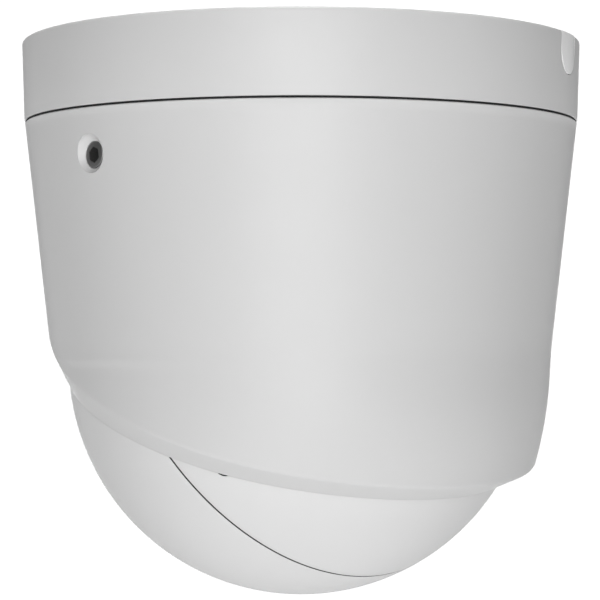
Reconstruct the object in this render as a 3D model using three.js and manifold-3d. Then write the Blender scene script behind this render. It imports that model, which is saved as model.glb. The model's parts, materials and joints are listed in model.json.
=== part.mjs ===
// Turret-shaped pan, tilt and zoom security camera that hangs from a ceiling.
// Millimetres, +Z up. The origin is the centre of the ceiling face, and the lens looks towards -Y.
// Azimuths run from the front (-Y) towards +X.

import * as THREE from 'three';
import { mergeVertices } from 'three/addons/utils/BufferGeometryUtils.js';
import Module from 'manifold-3d';

const wasm = await Module();
wasm.setup();

// ---------------------------------------------------------------- driving dimensions

const GAP = 0.3;                 // clearance between pieces that touch
const SEAM = 0.4;                // open joint between two outer shells

const BASE_TOP_RADIUS = 57;      // mounting base at the ceiling
const BASE_SEAM_RADIUS = 56.5;   // mounting base at the pan seam
const PAN_SEAM_Z = -16.15;       // middle of the pan seam
const PLATE = 2.5;               // ceiling plate thickness
const BASE_INNER_RADIUS = 54;

const HOUSING_TOP_RADIUS = 56.4;
const HOUSING_TAPER = 0.1129;    // radius lost per mm of drop
const HOUSING_WALL = 2.4;
const BREAK_RISE = 2.6;          // height above the ball centre where the taper eases
const BREAK_TAPER = 0.052;
const CHIN_RADIUS = 51.8;        // tilted cylinder that rounds the back of the housing
const CHIN_TILT = 20;            // its lean towards the front, degrees

const BALL_RADIUS = 47.55;
const BALL_Z = -64.77;
const BALL_WALL = 2.2;
const SOCKET_RADIUS = 48.2;      // inside of the housing around the ball
const LENS_DROP = 27.4;          // lens axis below the horizontal at rest, degrees
const WINDOW_PLANE = 39;         // flat front of the ball, from its centre
const WINDOW_RADIUS = 25.5;
const WINDOW_LEDGE = 36;         // step that the window's seal sits on

// The rim's two edges, as height above the ball centre for a distance towards the front.
const outerEdgeRise = (front) => -9.0 + 0.3897 * front + 0.00178 * front * front;
const innerEdgeRise = (front) => -14.22 + 0.3522 * front + 0.00161 * front * front;

const PAN_MODULE = 1.2;
const PAN_RING_TEETH = 80;
const PAN_PINION_TEETH = 10;
const PAN_MOTOR_AZIMUTH = -45;
const TILT_MODULE = 0.8;
const TILT_GEAR_TEETH = 36;
const TILT_PINION_TEETH = 12;
const TILT_PIN_RADIUS = 4;
const TILT_GEAR_X = 33;          // inner face of the tilt gear
const TILT_GEAR_WIDTH = 3;

const LOCK_SCREW_Z = -25.2;
const LOCK_SCREW_RADIUS = 2.5;   // M5
const CABLE_HOLE_Y = 25;
const CABLE_HOLE_RADIUS = 8.3;
const SLOT_AZIMUTH = 203;        // side cable slot in the base wall
const SLOT_WIDTH = 9.5;
const SLOT_DEPTH = 8.3;

const COVER_SIZE = [14, 20];     // card cover, across and along the ball seam
const COVER_ANGLE = 107.1;       // its middle, from the lens axis, degrees
const COVER_TURN = -23.0;        // its middle, around the lens axis from +X, degrees

const LED_COUNT = 6;
const LED_CIRCLE = 17;
const POST_CIRCLE = 27;          // chassis posts in the rear shell
const POST_TURNS = [90, 210, 330];
const BUSH_HOLE_RADIUS = 5.6;    // holes in the ball for the tilt bushes

const WHITE = [0xdcdcda, 0.45, 0.0];
const BLACK = [0x18181a, 0.6, 0.0];
const RUBBER = [0x242426, 0.85, 0.0];
const STEEL = [0x8d9092, 0.35, 1.0];
const DARK_STEEL = [0x4a4b4d, 0.45, 1.0];
const NYLON = [0xe6e2d6, 0.5, 0.0];
const BOARD = [0x1f4a2c, 0.6, 0.0];
const GLASS = [0x0d1014, 0.05, 0.0];
const LIGHT = [0xd8dde4, 0.15, 0.0];
const ALLOY = [0xa7aaad, 0.4, 0.8];

// ---------------------------------------------------------------- helpers

const rad = THREE.MathUtils.degToRad;
const direction = (azimuth) => [Math.sin(rad(azimuth)), -Math.cos(rad(azimuth))];

function toSolid(geometry) {
  const bare = geometry.clone();
  bare.deleteAttribute('normal');
  bare.deleteAttribute('uv');
  const merged = mergeVertices(bare, 1e-4);
  const index = merged.index.array;
  const kept = [];
  for (let i = 0; i < index.length; i += 3) {
    const [a, b, c] = [index[i], index[i + 1], index[i + 2]];
    if (a !== b && b !== c && c !== a) kept.push(a, b, c);
  }
  return new wasm.Manifold(new wasm.Mesh({
    numProp: 3,
    vertProperties: new Float32Array(merged.attributes.position.array),
    triVerts: new Uint32Array(kept),
  }));
}

function fromSolid(solid) {
  const mesh = solid.getMesh();
  const geometry = new THREE.BufferGeometry();
  geometry.setAttribute('position', new THREE.BufferAttribute(mesh.vertProperties, 3));
  geometry.setIndex(new THREE.BufferAttribute(mesh.triVerts, 1));
  geometry.computeVertexNormals();
  return geometry;
}

const cut = (body, ...tools) =>
  fromSolid(tools.reduce((left, tool) => left.subtract(toSolid(tool)), toSolid(body)));
const join = (body, ...others) =>
  fromSolid(others.reduce((left, other) => left.add(toSolid(other)), toSolid(body)));
const common = (body, other) => fromSolid(toSolid(body).intersect(toSolid(other)));

// A profile of [radius, height] pairs, turned about +Z. The outer side is listed upwards.
function turned(profile, segments = 24) {
  const points = profile.map(([r, z]) => new THREE.Vector2(r, z));
  if (points[0].x > 0 || points.at(-1).x > 0) points.push(points[0].clone());
  return new THREE.LatheGeometry(points, segments).rotateX(Math.PI / 2);
}

const rod = (radius, z0, z1, segments = 20) =>
  turned([[0, z0], [radius, z0], [radius, z1], [0, z1]], segments);
const ring = (inner, outer, z0, z1, segments = 32) =>
  turned([[outer, z0], [outer, z1], [inner, z1], [inner, z0]], segments);
const rodX = (radius, x0, x1, segments = 20) => rod(radius, x0, x1, segments).rotateY(Math.PI / 2);
const ringX = (inner, outer, x0, x1, segments = 24) =>
  ring(inner, outer, x0, x1, segments).rotateY(Math.PI / 2);

function block([x0, y0, z0], [x1, y1, z1]) {
  return new THREE.BoxGeometry(x1 - x0, y1 - y0, z1 - z0)
    .translate((x0 + x1) / 2, (y0 + y1) / 2, (z0 + z1) / 2);
}

function plate(shape, z0, z1, curveSegments = 12) {
  return new THREE.ExtrudeGeometry(shape, { depth: z1 - z0, bevelEnabled: false, curveSegments })
    .translate(0, 0, z0);
}

function roundedRectangle(width, height, radius) {
  const [x, y] = [width / 2, height / 2];
  const shape = new THREE.Shape();
  shape.moveTo(-x + radius, -y);
  shape.lineTo(x - radius, -y);
  shape.absarc(x - radius, -y + radius, radius, -Math.PI / 2, 0);
  shape.lineTo(x, y - radius);
  shape.absarc(x - radius, y - radius, radius, 0, Math.PI / 2);
  shape.lineTo(-x + radius, y);
  shape.absarc(-x + radius, y - radius, radius, Math.PI / 2, Math.PI);
  shape.lineTo(-x, -y + radius);
  shape.absarc(-x + radius, -y + radius, radius, Math.PI, Math.PI * 1.5);
  return shape;
}

// A flat ring sector between two azimuths.
function sector(inner, outer, from, to) {
  const shape = new THREE.Shape();
  const [start, end] = [rad(from - 90), rad(to - 90)];
  shape.absarc(0, 0, outer, start, end, false);
  shape.absarc(0, 0, inner, end, start, true);
  return shape;
}

// Gear outline with straight-flanked teeth. A tooth is centred on the angle `phase`.
function gearPoints(teeth, rootRadius, tipRadius, rootShare, tipShare, phase) {
  const pitch = 2 * Math.PI / teeth;
  const points = [];
  for (let tooth = 0; tooth < teeth; tooth += 1) {
    const middle = phase + tooth * pitch;
    const corners = [
      [rootRadius, -rootShare], [tipRadius, -tipShare], [tipRadius, tipShare], [rootRadius, rootShare],
    ];
    for (const [radius, share] of corners) {
      const angle = middle + share * pitch;
      points.push(new THREE.Vector2(radius * Math.cos(angle), radius * Math.sin(angle)));
    }
  }
  return points;
}

const circlePath = (radius, x = 0, y = 0) =>
  new THREE.Path().absarc(x, y, radius, 0, 2 * Math.PI, true);

// Points of a circular arc in a profile, by angle from the radius direction, in degrees.
function arc(radius, from, to, steps, centreZ = 0) {
  return Array.from({ length: steps + 1 }, (_, i) => {
    const angle = rad(from + (to - from) * i / steps);
    return [radius * Math.cos(angle), centreZ + radius * Math.sin(angle)];
  });
}

function piece(name, geometry, [color, roughness, metalness]) {
  const material = new THREE.MeshStandardMaterial({ color, roughness, metalness });
  const mesh = new THREE.Mesh(geometry, material);
  mesh.name = name;
  return mesh;
}

const camera = new THREE.Group();

// ---------------------------------------------------------------- mounting base, fixed to the ceiling

const [slotX, slotY] = direction(SLOT_AZIMUTH);
const BASE_BOTTOM = PAN_SEAM_Z + SEAM / 2;
const RING_GEAR_Z = [-7, -PLATE - GAP];
const RING_PITCH_RADIUS = PAN_MODULE * PAN_RING_TEETH / 2;
const PINION_PITCH_RADIUS = PAN_MODULE * PAN_PINION_TEETH / 2;
const PAN_MOTOR_CIRCLE = RING_PITCH_RADIUS - PINION_PITCH_RADIUS;
const BOSS_BOTTOM = -9;
const BOSS_RADIUS = 9;
const SPINDLE_BORE = 4.8;
const GASKET_GROOVE = [50.2, 53.3];
const MOUNT_SCREW_CIRCLE = 41;
const MOUNT_SCREW_AZIMUTHS = [60, 180, 300];
const GEAR_SCREW_CIRCLE = 51.4;
const GEAR_SCREW_HOLE = 1.5;
const GEAR_SCREW_AZIMUTHS = [30, 150, 270];
const BASE_BOARD_POST_CIRCLE = 24;
const BASE_BOARD_POSTS = [-75, 75];

// The side slot's outline, seen from outside: straight sides and a full-round bottom.
function slotOutline(width, depth) {
  const radius = width / 2;
  const shape = new THREE.Shape();
  shape.moveTo(-radius, 1);
  shape.lineTo(-radius, -depth + radius);
  shape.absarc(0, -depth + radius, radius, Math.PI, 2 * Math.PI, false);
  shape.lineTo(radius, 1);
  return shape;
}

function slotPrism(width, depth, inner, outer) {
  return plate(slotOutline(width, depth), inner, outer, 6)
    .rotateX(Math.PI / 2)
    .rotateZ(rad(SLOT_AZIMUTH));
}

function atAzimuth(geometry, circle, azimuth) {
  const [x, y] = direction(azimuth);
  return geometry.translate(circle * x, circle * y, 0);
}

function mountingBase() {
  const body = turned([
    [BASE_SEAM_RADIUS - 0.3, BASE_BOTTOM], [BASE_SEAM_RADIUS, BASE_BOTTOM + 0.3],
    [BASE_TOP_RADIUS, -0.6], [BASE_TOP_RADIUS - 0.6, 0],
    [GASKET_GROOVE[1], 0], [GASKET_GROOVE[1], -1], [GASKET_GROOVE[0], -1], [GASKET_GROOVE[0], 0], [0, 0],
    [0, -4], [SPINDLE_BORE, -4], [SPINDLE_BORE, BOSS_BOTTOM], [BOSS_RADIUS, BOSS_BOTTOM], [BOSS_RADIUS, -PLATE],
    [BASE_INNER_RADIUS, -PLATE], [BASE_INNER_RADIUS, BASE_BOTTOM],
  ], 40);
  const post = rod(2.6, -3.7, -PLATE + 0.5, 16);
  const mountHole = rod(2.3, -PLATE - 1, 1, 12);
  const gearHole = rod(GEAR_SCREW_HOLE, -PLATE - 1, -1.6, 12);
  const posts = BASE_BOARD_POSTS.map((azimuth) => atAzimuth(post.clone(), BASE_BOARD_POST_CIRCLE, azimuth));
  const holes = [
    atAzimuth(rod(CABLE_HOLE_RADIUS, -PLATE - 1, 1, 24), CABLE_HOLE_Y, 180),
    ...MOUNT_SCREW_AZIMUTHS.map((azimuth) => atAzimuth(mountHole.clone(), MOUNT_SCREW_CIRCLE, azimuth)),
    ...GEAR_SCREW_AZIMUTHS.map((azimuth) => atAzimuth(gearHole.clone(), GEAR_SCREW_CIRCLE, azimuth)),
    slotPrism(SLOT_WIDTH, SLOT_DEPTH, BASE_INNER_RADIUS - 0.5, BASE_TOP_RADIUS + 1),
  ];
  return cut(join(body, ...posts), ...holes);
}

function conduitPlug() {
  const wall = turned([
    [BASE_TOP_RADIUS - 0.15, -SLOT_DEPTH - 1], [BASE_TOP_RADIUS - 0.15, -0.1],
    [BASE_INNER_RADIUS + 0.2, -0.1], [BASE_INNER_RADIUS + 0.2, -SLOT_DEPTH - 1],
  ], 40);
  return common(wall, slotPrism(SLOT_WIDTH - 2 * GAP, SLOT_DEPTH - GAP, 50, 60));
}

function ringGear() {
  const phase = rad(PAN_MOTOR_AZIMUTH - 90) + Math.PI / PAN_RING_TEETH;
  const shape = new THREE.Shape().absarc(0, 0, BASE_INNER_RADIUS - 0.4, 0, 2 * Math.PI, false);
  const root = RING_PITCH_RADIUS + 1.05 * PAN_MODULE;
  const tip = RING_PITCH_RADIUS - 0.7 * PAN_MODULE;
  shape.holes.push(new THREE.Path(gearPoints(PAN_RING_TEETH, root, tip, 0.34, 0.15, phase)));
  for (const azimuth of GEAR_SCREW_AZIMUTHS) {
    const [x, y] = direction(azimuth);
    shape.holes.push(circlePath(GEAR_SCREW_HOLE, GEAR_SCREW_CIRCLE * x, GEAR_SCREW_CIRCLE * y));
  }
  return plate(shape, ...RING_GEAR_Z, 10);
}

// A pan-head screw whose head is at the bottom and whose shank points up.
function screw(headRadius, shankRadius, headBottom, headTop, shankTop) {
  return turned([
    [0, headBottom], [headRadius * 0.8, headBottom], [headRadius, headBottom + 0.5], [headRadius, headTop],
    [shankRadius, headTop], [shankRadius, shankTop], [0, shankTop],
  ], 10);
}

const GROMMET_FLANGE = 9.6;       // stays clear of the pan pinion as it goes past
const GROMMET_BORE = 5.5;
const CABLE_GROMMET = [
  [GROMMET_FLANGE, -4.4], [GROMMET_FLANGE, -PLATE - GAP], [CABLE_HOLE_RADIUS - GAP, -PLATE - GAP],
  [CABLE_HOLE_RADIUS - GAP, -0.2], [GROMMET_BORE + 0.5, -0.2], [GROMMET_BORE, -0.7], [GROMMET_BORE, -4.4],
];

camera.add(
  piece('mounting_base', mountingBase(), WHITE),
  piece('ceiling_gasket', ring(GASKET_GROOVE[0] + 0.4, GASKET_GROOVE[1] - 0.4, -0.7, -0.05, 40), RUBBER),
  piece('conduit_plug', conduitPlug(), WHITE),
  piece('cable_grommet', atAzimuth(turned(CABLE_GROMMET, 24), CABLE_HOLE_Y, 180), RUBBER),
  piece('pan_ring_gear', ringGear(), NYLON),
  piece('spindle_screw', turned([
    [0, -16.2], [6.4, -16.2], [7, -15.6], [7, -13.4], [4.5, -13.4], [4.5, -4.3], [0, -4.3],
  ], 24), STEEL),
  piece('thrust_washer', ring(SPINDLE_BORE, BOSS_RADIUS, -10.1, BOSS_BOTTOM - GAP, 24), NYLON),
  piece('connector_board', plate(sector(11, 33, -105, 105), -5.6, -4.0), BOARD),
  piece('network_connector', block([-8, -30, -9.6], [8, -14, -5.9]), NYLON),
);
GEAR_SCREW_AZIMUTHS.forEach((azimuth, i) => camera.add(
  piece(`ring_gear_screw_${i + 1}`,
    atAzimuth(screw(1.9, 1.2, -8.6, -7.3, -1.9), GEAR_SCREW_CIRCLE, azimuth), STEEL),
));

// ---------------------------------------------------------------- panning head

const HOUSING_TOP = PAN_SEAM_Z - SEAM / 2;
const TURNTABLE_Z = [-13, -10.4];
const SKIRT_RADIUS = [49.4, 51.6];
const SKIRT_BOTTOM = -29;
const MOTOR_SPIGOT_HOLE = 1.9;    // the pan motor's shaft passes through it
const MAIN_BOARD_Z = [-17, -15.4];
const MAIN_BOARD_POSTS = [125, 200, 275];
const BOARD_CIRCLE = 41;

function outerRadius(azimuth, z) {
  const rise = z - BALL_Z;
  const breakRadius = HOUSING_TOP_RADIUS + HOUSING_TAPER * (BALL_Z + BREAK_RISE - PAN_SEAM_Z);
  const cone = rise > BREAK_RISE
    ? HOUSING_TOP_RADIUS + HOUSING_TAPER * (z - PAN_SEAM_Z)
    : breakRadius + BREAK_TAPER * (rise - BREAK_RISE);
  if (rise > 0) return cone;
  const [sin, cos] = [Math.sin(rad(CHIN_TILT)), Math.cos(rad(CHIN_TILT))];
  const front = Math.cos(rad(azimuth));
  const a = 1 - (front * sin) ** 2;
  const b = 2 * front * sin * cos * rise;
  const c = (rise * sin) ** 2 - CHIN_RADIUS ** 2;
  const chin = (-b + Math.sqrt(b * b - 4 * a * c)) / (2 * a);
  return Math.min(cone, chin);
}

// Height of a rim edge at one azimuth: the edge's own radius depends on its height, so it's found in rounds.
function edgeHeight(azimuth, rise, radiusAt) {
  let height = 0;
  for (let round = 0; round < 20; round += 1) {
    height = rise(Math.cos(rad(azimuth)) * radiusAt(height));
  }
  return height;
}

const socketRadius = (rise) =>
  Math.max(Math.sqrt(Math.max(SOCKET_RADIUS ** 2 - rise ** 2, 0)), rise > 0 ? SOCKET_RADIUS - 0.3 : 0);

function housingProfile(azimuth) {
  const outerRise = edgeHeight(azimuth, outerEdgeRise, (rise) => outerRadius(azimuth, BALL_Z + rise));
  const innerRise = edgeHeight(azimuth, innerEdgeRise, socketRadius);
  const outerBottom = BALL_Z + outerRise;
  const profile = [[socketRadius(innerRise), BALL_Z + innerRise]];
  for (const share of [0, 0.06, 0.14, 0.24, 0.36, 0.6, 0.85]) {
    const z = outerBottom + share * (HOUSING_TOP - 0.3 - outerBottom);
    profile.push([outerRadius(azimuth, z), z]);
  }
  profile.push([outerRadius(azimuth, HOUSING_TOP - 0.3), HOUSING_TOP - 0.3]);
  profile.push([outerRadius(azimuth, HOUSING_TOP) - 0.3, HOUSING_TOP]);
  profile.push([BASE_INNER_RADIUS - 0.1, HOUSING_TOP]);
  profile.push([outerRadius(azimuth, BALL_Z + 10.5) - HOUSING_WALL, BALL_Z + 10.5]);
  for (const share of [1, 0.8, 0.6, 0.4, 0.2]) {
    const rise = innerRise + share * (9.5 - innerRise);
    profile.push([socketRadius(rise), BALL_Z + rise]);
  }
  return profile;
}

// A turned shape whose profile changes with the azimuth.
function turnedByAzimuth(profileAt, segments) {
  const close = (profile) => [...profile, profile[0]];
  const first = close(profileAt(0)).map(([r, z]) => new THREE.Vector2(r, z));
  const geometry = new THREE.LatheGeometry(first, segments);
  const { position } = geometry.attributes;
  for (let i = 0; i <= segments; i += 1) {
    const turn = 2 * Math.PI * (i % segments) / segments;
    close(profileAt(THREE.MathUtils.radToDeg(turn))).forEach(([r, z], j) => {
      position.setXYZ(i * first.length + j, r * Math.sin(turn), z, r * Math.cos(turn));
    });
  }
  return geometry.rotateX(Math.PI / 2);
}

function housing() {
  const surface = outerRadius(90, LOCK_SCREW_Z);
  const recess = turned([
    [0, surface - 4], [2.8, surface - 4], [2.8, surface - 1], [3.7, surface], [3.7, surface + 2],
    [0, surface + 2],
  ], 24).rotateY(Math.PI / 2).translate(0, 0, LOCK_SCREW_Z);
  const pockets = [1, -1].map((side) =>
    rodX(TILT_PIN_RADIUS + GAP, 46, 49.6, 24).scale(side, 1, side).translate(0, 0, BALL_Z));
  return cut(turnedByAzimuth(housingProfile, 48), recess, ...pockets);
}

function turntable() {
  const plateAndSkirt = turned([
    [SKIRT_RADIUS[1], SKIRT_BOTTOM], [SKIRT_RADIUS[1], TURNTABLE_Z[1]], [SPINDLE_BORE, TURNTABLE_Z[1]],
    [SPINDLE_BORE, TURNTABLE_Z[0]], [SKIRT_RADIUS[0], TURNTABLE_Z[0]], [SKIRT_RADIUS[0], SKIRT_BOTTOM],
  ], 36);
  const lug = block([45.5, -5, SKIRT_BOTTOM], [50, 5, -20]);
  const posts = MAIN_BOARD_POSTS.map((azimuth) =>
    atAzimuth(rod(2.8, MAIN_BOARD_Z[1] + GAP, TURNTABLE_Z[0] + 0.5, 16), BOARD_CIRCLE, azimuth));
  const [x, y] = direction(PAN_MOTOR_AZIMUTH);
  return cut(
    join(plateAndSkirt, lug, ...posts),
    rodX(2.8, 40, 56, 20).translate(0, 0, LOCK_SCREW_Z),
    rod(MOTOR_SPIGOT_HOLE, -14, -9, 16).translate(PAN_MOTOR_CIRCLE * x, PAN_MOTOR_CIRCLE * y, 0),
    atAzimuth(rod(7, -14, -9, 28), 22, 180),
  );
}

function panMotor() {
  const can = turned([
    [0, -27.5], [5.9, -27.5], [6.5, -26.9], [6.5, -13.4], [MOTOR_SPIGOT_HOLE, -13.4], [MOTOR_SPIGOT_HOLE, -21],
    [0, -21],
  ], 20);
  return atAzimuth(can, PAN_MOTOR_CIRCLE, PAN_MOTOR_AZIMUTH);
}

function tiltGear() {
  const pitchRadius = TILT_MODULE * TILT_GEAR_TEETH / 2;
  const shape = new THREE.Shape(
    gearPoints(TILT_GEAR_TEETH, pitchRadius - 0.95 * TILT_MODULE, pitchRadius + 0.75 * TILT_MODULE,
      0.33, 0.15, rad(90 + LENS_DROP) + Math.PI / TILT_GEAR_TEETH));
  shape.holes.push(circlePath(TILT_PIN_RADIUS + GAP));
  return plate(shape, TILT_GEAR_X, TILT_GEAR_X + TILT_GEAR_WIDTH, 10)
    .rotateY(Math.PI / 2)
    .translate(0, 0, BALL_Z);
}

camera.add(
  piece('housing', housing(), WHITE),
  piece('turntable', turntable(), ALLOY),
  piece('seam_seal', ring(51.9, 53.4, -17.6, -13.6, 40), RUBBER),
  piece('pan_motor', panMotor(), STEEL),
  piece('main_board', plate(sector(33, 48.5, 112, 288), ...MAIN_BOARD_Z, 16), BOARD),
  piece('power_inductor', atAzimuth(block([-5, -5, -24], [5, 5, -17.3]), BOARD_CIRCLE, 163), BLACK),
  piece('smoothing_capacitor', atAzimuth(rod(4, -28, -17.3, 24), BOARD_CIRCLE, 238), BLACK),
  piece('tilt_gear', tiltGear(), NYLON),
);
for (const [side, turn] of [['right', 0], ['left', Math.PI]]) {
  camera.add(piece(`tilt_pin_${side}`,
    rodX(TILT_PIN_RADIUS, 31, 49.3, 24).rotateZ(turn).translate(0, 0, BALL_Z), STEEL));
}

// ---------------------------------------------------------------- small moving pieces of the head

function panPinion() {
  const toothed = new THREE.Shape(
    gearPoints(PAN_PINION_TEETH, PINION_PITCH_RADIUS - 0.95 * PAN_MODULE,
      PINION_PITCH_RADIUS + 0.75 * PAN_MODULE, 0.31, 0.1, rad(PAN_MOTOR_AZIMUTH - 90)));
  const body = join(plate(toothed, -6.8, -3.4), rod(1.5, -20, -6, 16));
  return atAzimuth(body, PAN_MOTOR_CIRCLE, PAN_MOTOR_AZIMUTH);
}

function lockScrew() {
  const face = outerRadius(90, LOCK_SCREW_Z) - 1;
  const body = turned([
    [0, face - 8], [1.6, face - 8], [LOCK_SCREW_RADIUS, face - 7.2], [LOCK_SCREW_RADIUS, face - 0.4],
    [LOCK_SCREW_RADIUS - 0.4, face], [0, face],
  ], 24);
  const socket = new THREE.CylinderGeometry(1.44, 1.44, 5, 6).rotateX(Math.PI / 2).translate(0, 0, face);
  return cut(body, socket).rotateY(Math.PI / 2).translate(0, 0, LOCK_SCREW_Z);
}

camera.add(
  piece('pan_pinion', panPinion(), NYLON),
  piece('lock_screw', lockScrew(), DARK_STEEL),
);

// ---------------------------------------------------------------- the eye: its own +Z is the lens axis

const eye = new THREE.Group();
eye.position.z = BALL_Z;
eye.rotation.x = rad(90 + LENS_DROP);
camera.add(eye);

const INNER_BALL = BALL_RADIUS - BALL_WALL;
const degreesAt = (radius, height) => THREE.MathUtils.radToDeg(Math.asin(height / radius));
const PINION_DISTANCE = TILT_MODULE * (TILT_GEAR_TEETH + TILT_PINION_TEETH) / 2;
const BARREL_BORE = 8.4;

function bushHoles() {
  return [0, Math.PI].map((turn) => rodX(BUSH_HOLE_RADIUS, 40, 50, 24).rotateZ(turn));
}

function frontShell() {
  const body = turned([
    ...arc(BALL_RADIUS, degreesAt(BALL_RADIUS, SEAM / 2), degreesAt(BALL_RADIUS, WINDOW_PLANE - 0.25), 7),
    [27.1, WINDOW_PLANE], [WINDOW_RADIUS, WINDOW_PLANE], [WINDOW_RADIUS, WINDOW_LEDGE],
    [23.5, WINDOW_LEDGE], [23.5, 34.6],
    ...arc(INNER_BALL, degreesAt(INNER_BALL, 34.6), degreesAt(INNER_BALL, SEAM / 2), 5),
  ], 36);
  return cut(body, ...bushHoles());
}

function onBall(geometry) {
  return geometry.rotateY(rad(COVER_ANGLE)).rotateZ(rad(COVER_TURN));
}

const coverPrism = (grow) => onBall(
  plate(roundedRectangle(COVER_SIZE[0] + 2 * grow, COVER_SIZE[1] + 2 * grow, 1.5 + grow), 42, 50, 4));

function rearShell() {
  const shell = turned([
    ...arc(INNER_BALL, degreesAt(INNER_BALL, -SEAM / 2), -82, 6),
    ...arc(BALL_RADIUS, -82.4, degreesAt(BALL_RADIUS, -SEAM / 2), 9),
  ], 36);
  const post = (turn) => rod(3, -37.5, -13.2, 16).translate(POST_CIRCLE, 0, 0).rotateZ(rad(turn));
  const pilot = (turn) => rod(1.3, -24, -12, 12).translate(POST_CIRCLE, 0, 0).rotateZ(rad(turn));
  return cut(join(shell, ...POST_TURNS.map(post)), ...bushHoles(), coverPrism(GAP), ...POST_TURNS.map(pilot));
}

function cardCover() {
  const layer = turned([
    ...arc(BALL_RADIUS - 0.15, -70, 10, 8),
    ...arc(44.9, 10, -70, 8),
  ], 40);
  return common(layer, coverPrism(0));
}

function frontMask() {
  const shape = new THREE.Shape().absarc(0, 0, 23.1, 0, 2 * Math.PI, false);
  shape.holes.push(circlePath(9.6));
  for (let i = 0; i < LED_COUNT; i += 1) {
    const angle = 2 * Math.PI * (i + 0.5) / LED_COUNT;
    shape.holes.push(circlePath(3, LED_CIRCLE * Math.cos(angle), LED_CIRCLE * Math.sin(angle)));
  }
  shape.holes.push(circlePath(1.6, LED_CIRCLE, 0), circlePath(0.8, -LED_CIRCLE, 0));
  return plate(shape, 33, 34.2, 6);
}

function filterHousing() {
  const body = block([-9, -9, -2.5], [20, 9, 3.7]);
  const slot = block([-7, -7.5, -0.4], [21, 7.5, 1.6]);
  return cut(body, slot, rod(6.5, -4, 5, 24));
}

function chassis() {
  const shape = new THREE.Shape().absarc(0, 0, 30, 0, 2 * Math.PI, false);
  for (const turn of POST_TURNS) {
    shape.holes.push(circlePath(1.5, POST_CIRCLE * Math.cos(rad(turn)), POST_CIRCLE * Math.sin(rad(turn))));
  }
  return plate(shape, -12.9, -11.5, 8);
}

function heatSink() {
  const fins = [0, 1, 2, 3].map((i) => block([-26 + 7 * i, -10, -20], [-24 + 7 * i, 10, -15]));
  return join(block([-26, -10, -15.2], [-3, 10, -13.2]), ...fins);
}

// A lens element or group that fills the barrel's bore, with a bulged front.
function lensGroup(z0, z1, bulge) {
  const radius = BARREL_BORE - GAP;
  return turned([
    [0, z0], [radius, z0], [radius, z1], [radius * 0.6, z1 + bulge * 0.7], [0, z1 + bulge],
  ], 24);
}

const lensBarrel = () => turned([
  [12.5, 4], [12.5, 19], [9.2, 20.5], [9.2, 35.2], [BARREL_BORE, 35.2], [BARREL_BORE, 4],
], 24);

eye.add(
  piece('front_shell', frontShell(), WHITE),
  piece('rear_shell', rearShell(), WHITE),
  piece('ball_seam_gasket', cut(ring(43.3, 44.2, -7, 7, 36), ...bushHoles()), RUBBER),
  piece('window_gasket', ring(23.8, WINDOW_RADIUS - GAP, WINDOW_LEDGE + 0.25, WINDOW_LEDGE + 0.6, 24), RUBBER),
  piece('window_glass', rod(WINDOW_RADIUS - GAP, 36.9, WINDOW_PLANE - 0.1, 36), GLASS),
  piece('front_mask', frontMask(), BLACK),
  piece('led_board', ring(12.6, 22.5, 29, 30.4, 24), BOARD),
  piece('lens_barrel', lensBarrel(), BLACK),
  piece('front_element', lensGroup(31.5, 34.2, 1.6), GLASS),
  piece('light_sensor', rod(1.2, 30.7, 33.4, 12).translate(LED_CIRCLE, 0, 0), LIGHT),
  piece('microphone', rod(2.5, 30.7, 32.6, 16).translate(-LED_CIRCLE, 0, 0), STEEL),
  piece('filter_housing', filterHousing(), BLACK),
  piece('image_sensor', block([-6, -5, -5.6], [6, 5, -3.9]), BLACK),
  piece('sensor_board', block([-15, -12, -7.3], [15, 12, -5.9]), BOARD),
  piece('processor_board', rod(22, -11.2, -9.8, 32), BOARD),
  piece('chassis', chassis(), ALLOY),
  piece('heat_sink', heatSink(), ALLOY),
  piece('zoom_motor', rod(4.5, 6, 18, 16).translate(0, 18, 0), STEEL),
  piece('focus_motor', rod(4.5, 6, 18, 16).translate(0, -18, 0), STEEL),
  piece('card_cover', cardCover(), WHITE),
);
for (let i = 0; i < LED_COUNT; i += 1) {
  const dome = turned([[0, 30.7], [2.6, 30.7], [2.6, 33.6], [1.9, 35], [0, 35.7]], 12);
  eye.add(piece(`ir_led_${i + 1}`,
    dome.translate(LED_CIRCLE, 0, 0).rotateZ(2 * Math.PI * (i + 0.5) / LED_COUNT), LIGHT));
}
POST_TURNS.forEach((turn, i) => eye.add(
  piece(`chassis_screw_${i + 1}`, turned([
    [0, -22], [1, -22], [1, -11.2], [2.4, -11.2], [2.4, -10.2], [1.9, -9.7], [0, -9.7],
  ], 12).translate(POST_CIRCLE, 0, 0).rotateZ(rad(turn)), STEEL),
));
for (const [side, turn] of [['right', 0], ['left', Math.PI]]) {
  eye.add(piece(`tilt_bush_${side}`,
    ringX(TILT_PIN_RADIUS + GAP, 5.3, 43.2, 46.9, 24).rotateZ(turn), NYLON));
}

function tiltMotor() {
  return turned([
    [0, 14], [6, 14], [6, 32], [1.4, 32], [1.4, 25], [0, 25],
  ], 20).rotateY(Math.PI / 2).translate(0, 0, -PINION_DISTANCE);
}

// Geometry about +Z is turned to lie along +X; its own -X then points along the eye's +Z.
function tiltPinion() {
  const pitchRadius = TILT_MODULE * TILT_PINION_TEETH / 2;
  const toothed = new THREE.Shape(
    gearPoints(TILT_PINION_TEETH, pitchRadius - 0.95 * TILT_MODULE, pitchRadius + 0.75 * TILT_MODULE,
      0.32, 0.12, Math.PI));
  const body = join(plate(toothed, TILT_GEAR_X + 0.2, TILT_GEAR_X + TILT_GEAR_WIDTH - 0.2),
    rod(1.1, 26, TILT_GEAR_X + 1, 16));
  return body.rotateY(Math.PI / 2).translate(0, 0, -PINION_DISTANCE);
}

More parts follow.
